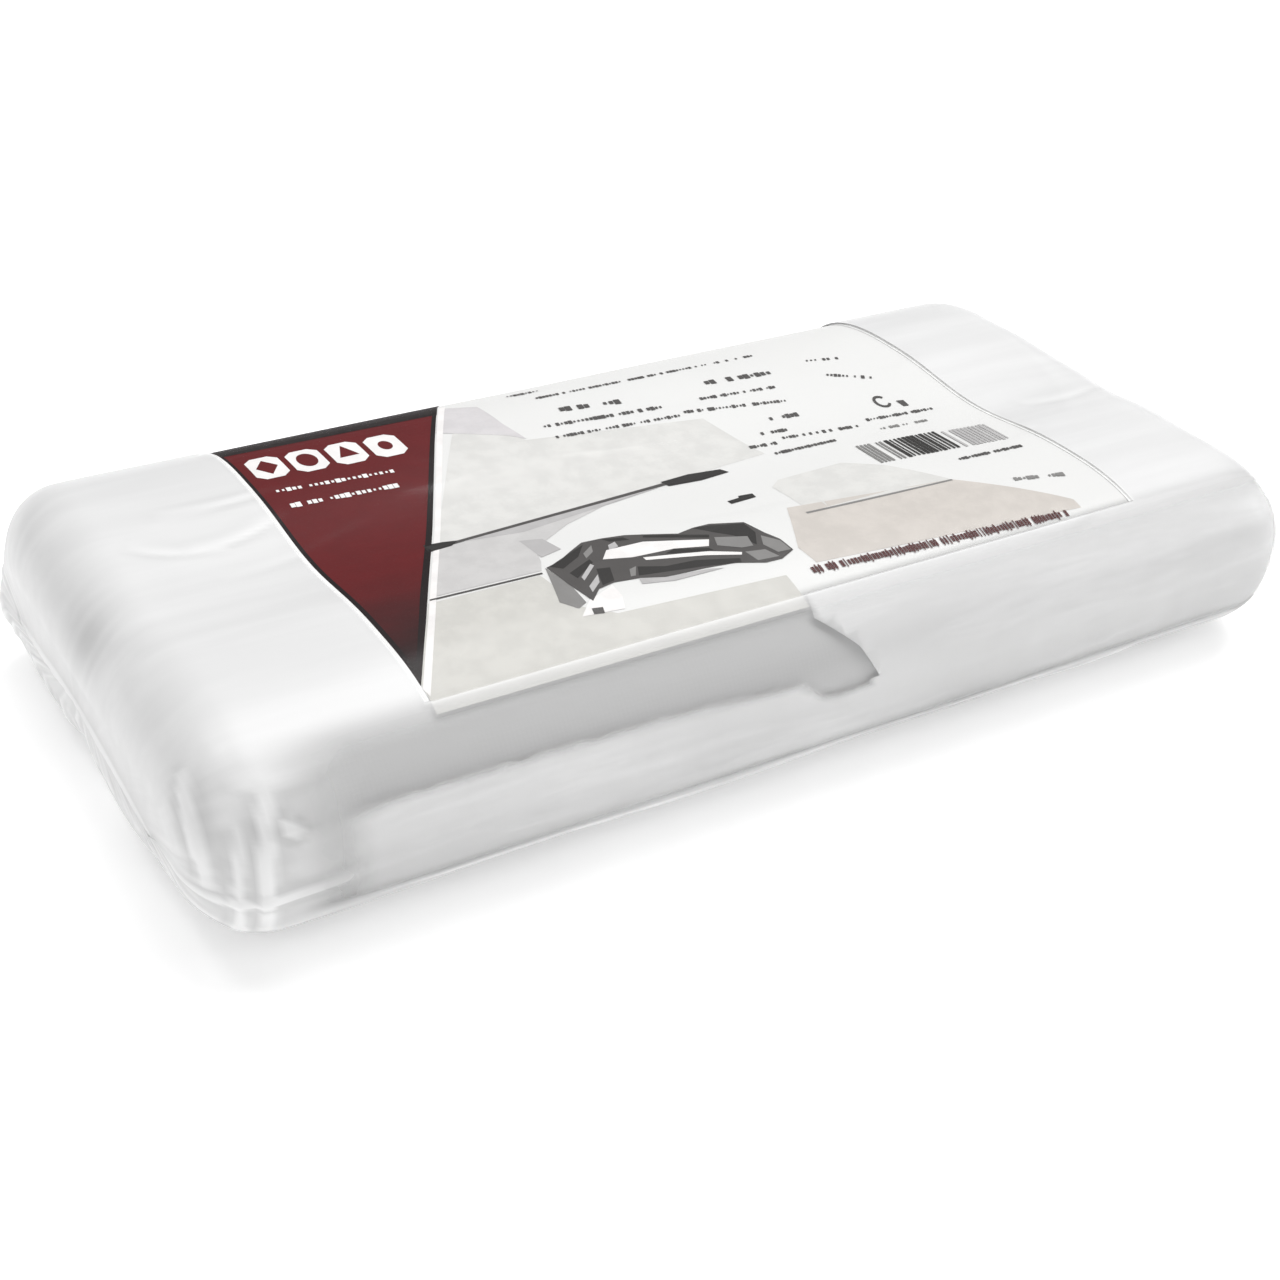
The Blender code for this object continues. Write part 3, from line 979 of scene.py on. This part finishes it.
printRows = [  # ink, start, end, mark height, gaps
    ("charcoalInk", (65, -38.2), (116, -36.6), 1.1, 0.14),
    ("charcoalInk", (60, -43.0), (68, -42.6), 1.2, 0.10),
    ("charcoalInk", (66.5, -30.6), (79, -28.6), 1.9, 0.35),
    ("charcoalInk", (59, -25.4), (85, -23.0), 1.3, 0.12),
    ("charcoalInk", (60, -20.6), (87, -18.6), 1.1, 0.16),
    ("charcoalInk", (99, -28.6), (115, -27.0), 1.9, 0.30),
    ("charcoalInk", (94, -22.8), (111, -21.2), 1.1, 0.14),
    ("charcoalInk", (88, -19.4), (110, -15.6), 1.1, 0.14),
    ("charcoalInk", (99, -11.2), (109, -10.4), 1.4, 0.38),
    ("charcoalInk", (98, -6.8), (104, -6.2), 1.1, 0.20),
    ("charcoalInk", (101, -3.8), (118, -1.8), 1.1, 0.16),
    ("charcoalInk", (93, -3.2), (99, -2.6), 1.1, 0.16),
    ("charcoalInk", (96, 1.0), (110, 1.4), 1.1, 0.14),
    ("charcoalInk", (124, -28.8), (131, -27.0), 1.4, 0.25),
    ("charcoalInk", (124, -21.4), (133, -16.4), 1.2, 0.18),
    ("charcoalInk", (121, -3.2), (137, -1.7), 1.1, 0.12),
    ("steelInk", (121, 1.2), (132, 2.2), 1.1, 0.14),
    ("charcoalInk", (124, 21.7), (139, 22.6), 1.1, 0.14),
    ("steelInk", (128, 33.2), (138, 35.6), 1.3, 0.12),
    ("whiteInk", (4.6, -23.2), (27, -21.3), 1.5, 0.10),
    ("whiteInk", (5.2, -17.6), (26, -16.5), 1.5, 0.16),
]

barRows = [  # ink, layer, start, end, count, pitch, seed, widths, heights, gaps
    ("boldInk", 5, (75.3, 42.6), (130.5, 45.8), 76, 0.73, 140, (0.49, 0.70), (1.25, 1.65), 0.09),
    ("boldInk", 6, (75.3, 42.6), (130.5, 45.8), 76, 0.73, 141, (0.224, 0.32), (2.1, 2.5), 0.60),
    ("steelInk", 5, (111.0, 10.6), (116.6, 11.2), 7, 0.85, 150, (0.25, 0.6), (9.6, 9.8), 0.02),
    ("blackInk", 5, (117.4, 11.2), (128.5, 12.4), 12, 0.98, 151, (0.35, 0.86), (9.6, 9.8), 0.05),
    ("silverInk", 5, (129.8, 13.0), (140.5, 14.2), 13, 0.86, 152, (0.30, 0.74), (8.8, 9.2), 0.05),
]

badge = {
    "left": 3.2,
    "top": -37.6,
    "tile": (6.4, 9.4),
    "gap": 1.2,
    "drop": 0.5,  # from one tile to the next
    "corner": 1.5,
    "spots": [(4, 2.1), (24, 1.9), (3, 2.2), (24, 1.3)],  # sides and radius of the shape on each tile
}


def drawSail(draw, rear):
    # The dark sail at the card's left end, its darker edges, a band of painted shade along its rear edge and
    # the white line beside it
    slope = 0.505  # of the long edge, along the card for each millimetre round it
    tip = 46.3 + (-45 - rear) * slope
    top = [(0.9, rear), (tip, rear), (46.3, -45)]
    draw("maroonInk", 1, top + [(24.8, -2), (12.4, 22), (0.9, 44)])
    # Painted shade: a near-black band along the sail's rear edge, where the card curves down over the rear
    # roll
    draw("deepMaroonInk", 2, top + [(44.2, -40.6), (22, -41.4), (0.9, -42.2)])
    draw("deepMaroonInk", 3, [(0.9, -43), (1.4, -43), (1.7, 0), (1.8, 38), (0.9, 43.6)])
    outside = [(46.3, -45), (24.8, -2), (12.4, 22), (2.0, 41.9)]
    draw("deepMaroonInk", 3, outside + [(1.6, 40.6), (11.2, 21.6), (23.6, -2), (44.6, -43.4)])
    outside = [(46.6, -45), (48.0, -45), (26.4, -2), (14.0, 22), (1.4, 46.4)]
    draw("whiteInk", 2, outside + [(0.9, 44.6), (12.8, 22), (25.2, -2)])


def drawBorderAndPaintedLight(draw, rear):
    # A white border along the left edge, and a strip of painted light along the right edge that brightens
    # the card where the milky film's edge shades it
    right, front = cardLength / mm - 0.1, cardFront / mm - 0.4
    draw("borderInk", 2, [(right - 1.4, rear), (right, rear), (right, front), (right - 1.4, front)])
    draw("borderInk", 1, [(0.1, rear), (0.9, rear), (0.9, front), (0.1, front)])


def drawBadge(draw):
    width, height = badge["tile"]
    cut = badge["corner"]
    for n, (sides, reach) in enumerate(badge["spots"]):
        left, top = badge["left"] + n * (width + badge["gap"]), badge["top"] + n * badge["drop"]
        right, bottom = left + width, top + height
        tile = [(left + cut, top), (right - cut, top), (right, top + cut), (right, bottom - cut)]
        tile += [(right - cut, bottom), (left + cut, bottom), (left, bottom - cut), (left, top + cut)]
        draw("whiteInk", 3, tile)
        x, y = (left + right) / 2, (top + bottom) / 2
        turns = [2 * math.pi * k / sides for k in range(sides)]
        spot = [(x + reach * math.sin(turn), y - 1.5 * reach * math.cos(turn)) for turn in turns]
        draw("maroonInk", 4, spot)


def drawRing(draw):
    # An open ring and a small block
    turns = np.linspace(0.6, 5.6, 16)
    ring = [(128.2 + 1.7 * math.cos(t), -8.2 + 2.3 * math.sin(t)) for t in turns]
    ring += [(128.2 + 1.1 * math.cos(t), -8.2 + 1.6 * math.sin(t)) for t in turns[::-1]]
    draw("charcoalInk", 5, ring)
    draw("charcoalInk", 5, [(131.2, -7.4), (132.8, -7.0), (132.6, -4.8), (131.4, -5.0)])


def drawRow(draw, tree, ink, layer, start, end, count, pitch, seed, widths, heights, gaps):
    sizes = {"Count": count, "Pitch": pitch, "Seed": seed, "Gaps": gaps}
    sizes["Width Low"], sizes["Width High"] = widths
    sizes["Height Low"], sizes["Height High"] = heights
    along = np.subtract(end, start) / math.dist(start, end)
    for corners in markRow(tree, sizes):
        turned = [(x * along[0] - y * along[1], x * along[1] + y * along[0]) for x, y in corners]
        draw(ink, layer, [(start[0] + x, start[1] + y) for x, y in turned])


def makePrint():
    inks = {name: inkLook(name, colour) for name, colour in inkColours.items()}
    inks["maroonInk"] = inkLook("sailInk", inkColours["maroonInk"], inkColours["deepMaroonInk"])
    order = list(inks)
    bm = bmesh.new()
    cell = (6.0, 2.0)  # mm

    def draw(ink, layer, points):
        cutShape(bm, points, order.index(ink), cell, 0.035 + 0.02 * layer)

    def onLabel(along, arc, level):
        return onCard(cardLow.x + along * mm, arc * mm, level * mm)

    rear = cardRear / mm + 0.4
    drawSail(draw, rear)
    drawBorderAndPaintedLight(draw, rear)
    for shape in printShapes:
        draw(*shape)
    drawBadge(draw)
    tree = markRowTree()
    for n, (ink, start, end, height, gaps) in enumerate(printRows):
        pitch = height * 0.68
        count = max(2, round(math.dist(start, end) / pitch))
        widths, heights = (pitch * 0.40, pitch * 1.02), (height * 0.40, height * 1.05)
        drawRow(draw, tree, ink, 5, start, end, count, pitch, 100 + n, widths, heights, gaps)
    for row in barRows:
        drawRow(draw, tree, *row)
    drawRing(draw)
    return bentObject("labelPrint", bm, onLabel, inks.values(), smooth=False)[0]


labelPrint = makePrint()
print("print", len(labelPrint.data.polygons), "faces")


tapeFinish = tapeLook()
for name in ("front_roll_tail_tape", "rear_roll_tail_tape"):
    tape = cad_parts[name]
    tape.data.materials.clear()
    tape.data.materials.append(tapeFinish)


# Floor, light and camera
studio = {
    "worldStrength": 0.25,
    "lights": [  # place, size, watts
        ((0.36, 0.22, 1.00), 0.9, 9.5),
        ((-0.85, -0.55, 0.62), 0.6, 2.2),
        ((1.05, -0.55, 0.45), 0.6, 3.6),
        ((-0.35, 0.30, 0.90), 0.25, 1.4),
    ],
}


def makeFloor(look):
    half = 6.0
    corners = [(-half, -half, 0), (half, -half, 0), (half, half, 0), (-half, half, 0)]
    floor = makeMesh("floor", corners, [(0, 1, 2, 3)], [look], smooth=False)
    return floor


def makeLights():
    world = bpy.data.worlds.new("studio")
    bpy.context.scene.world = world
    world.use_nodes = True
    sky = world.node_tree.nodes["Background"]
    sky.inputs["Color"].default_value = (1.0, 1.0, 1.0, 1)
    sky.inputs["Strength"].default_value = studio["worldStrength"]
    for n, (place, size, watts) in enumerate(studio["lights"]):
        light = bpy.data.lights.new("softbox", "AREA")
        light.energy = watts
        light.size = size
        lamp = bpy.data.objects.new("softbox%d" % n, light)
        bpy.context.scene.collection.objects.link(lamp)
        lamp.location = place
        lamp.rotation_euler = (Vector((0, 0, 0.02)) - Vector(place)).to_track_quat("-Z", "Y").to_euler()


cameraSettings = {
    "azimuth": -32.597,  # degrees round from the front
    "elevation": 32.061,
    "tilt": 2.861,
    "distance": 0.36158,
    "aside": 0.00384,  # how far the view's centre lies from the pack's middle
    "above": 0.01646,
    "lens": 53.42,
}


def makeCamera():
    s = cameraSettings
    turn, rise, tilt = (math.radians(s[key]) for key in ("azimuth", "elevation", "tilt"))
    back = Vector((math.sin(turn) * math.cos(rise), -math.cos(turn) * math.cos(rise), math.sin(rise)))
    level = Vector((math.cos(turn), math.sin(turn), 0))
    upright = back.cross(level)
    right = level * math.cos(tilt) + upright * math.sin(tilt)
    up = upright * math.cos(tilt) - level * math.sin(tilt)
    middle = Vector((0, 0, wrapHigh.z / 2))
    placed = Matrix((right, up, back)).transposed().to_4x4()
    placed.translation = middle + back * s["distance"] - right * s["aside"] - up * s["above"]
    lens = bpy.data.cameras.new("camera")
    lens.lens = s["lens"]
    lens.sensor_width = 36
    lens.clip_start = 0.01
    camera = bpy.data.objects.new("camera", lens)
    bpy.context.scene.collection.objects.link(camera)
    camera.matrix_world = placed
    bpy.context.scene.camera = camera


makeFloor(floorLook())
makeLights()
makeCamera()
bpy.context.scene.view_settings.view_transform = "Standard"
print("studio")

for piece in (film, lap, frontRoll, rearRoll, card, labelPrint):
    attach(piece, "root")
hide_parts("shrink_overwrap")
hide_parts("front_film_roll")
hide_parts("rear_film_roll")
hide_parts("label_card")
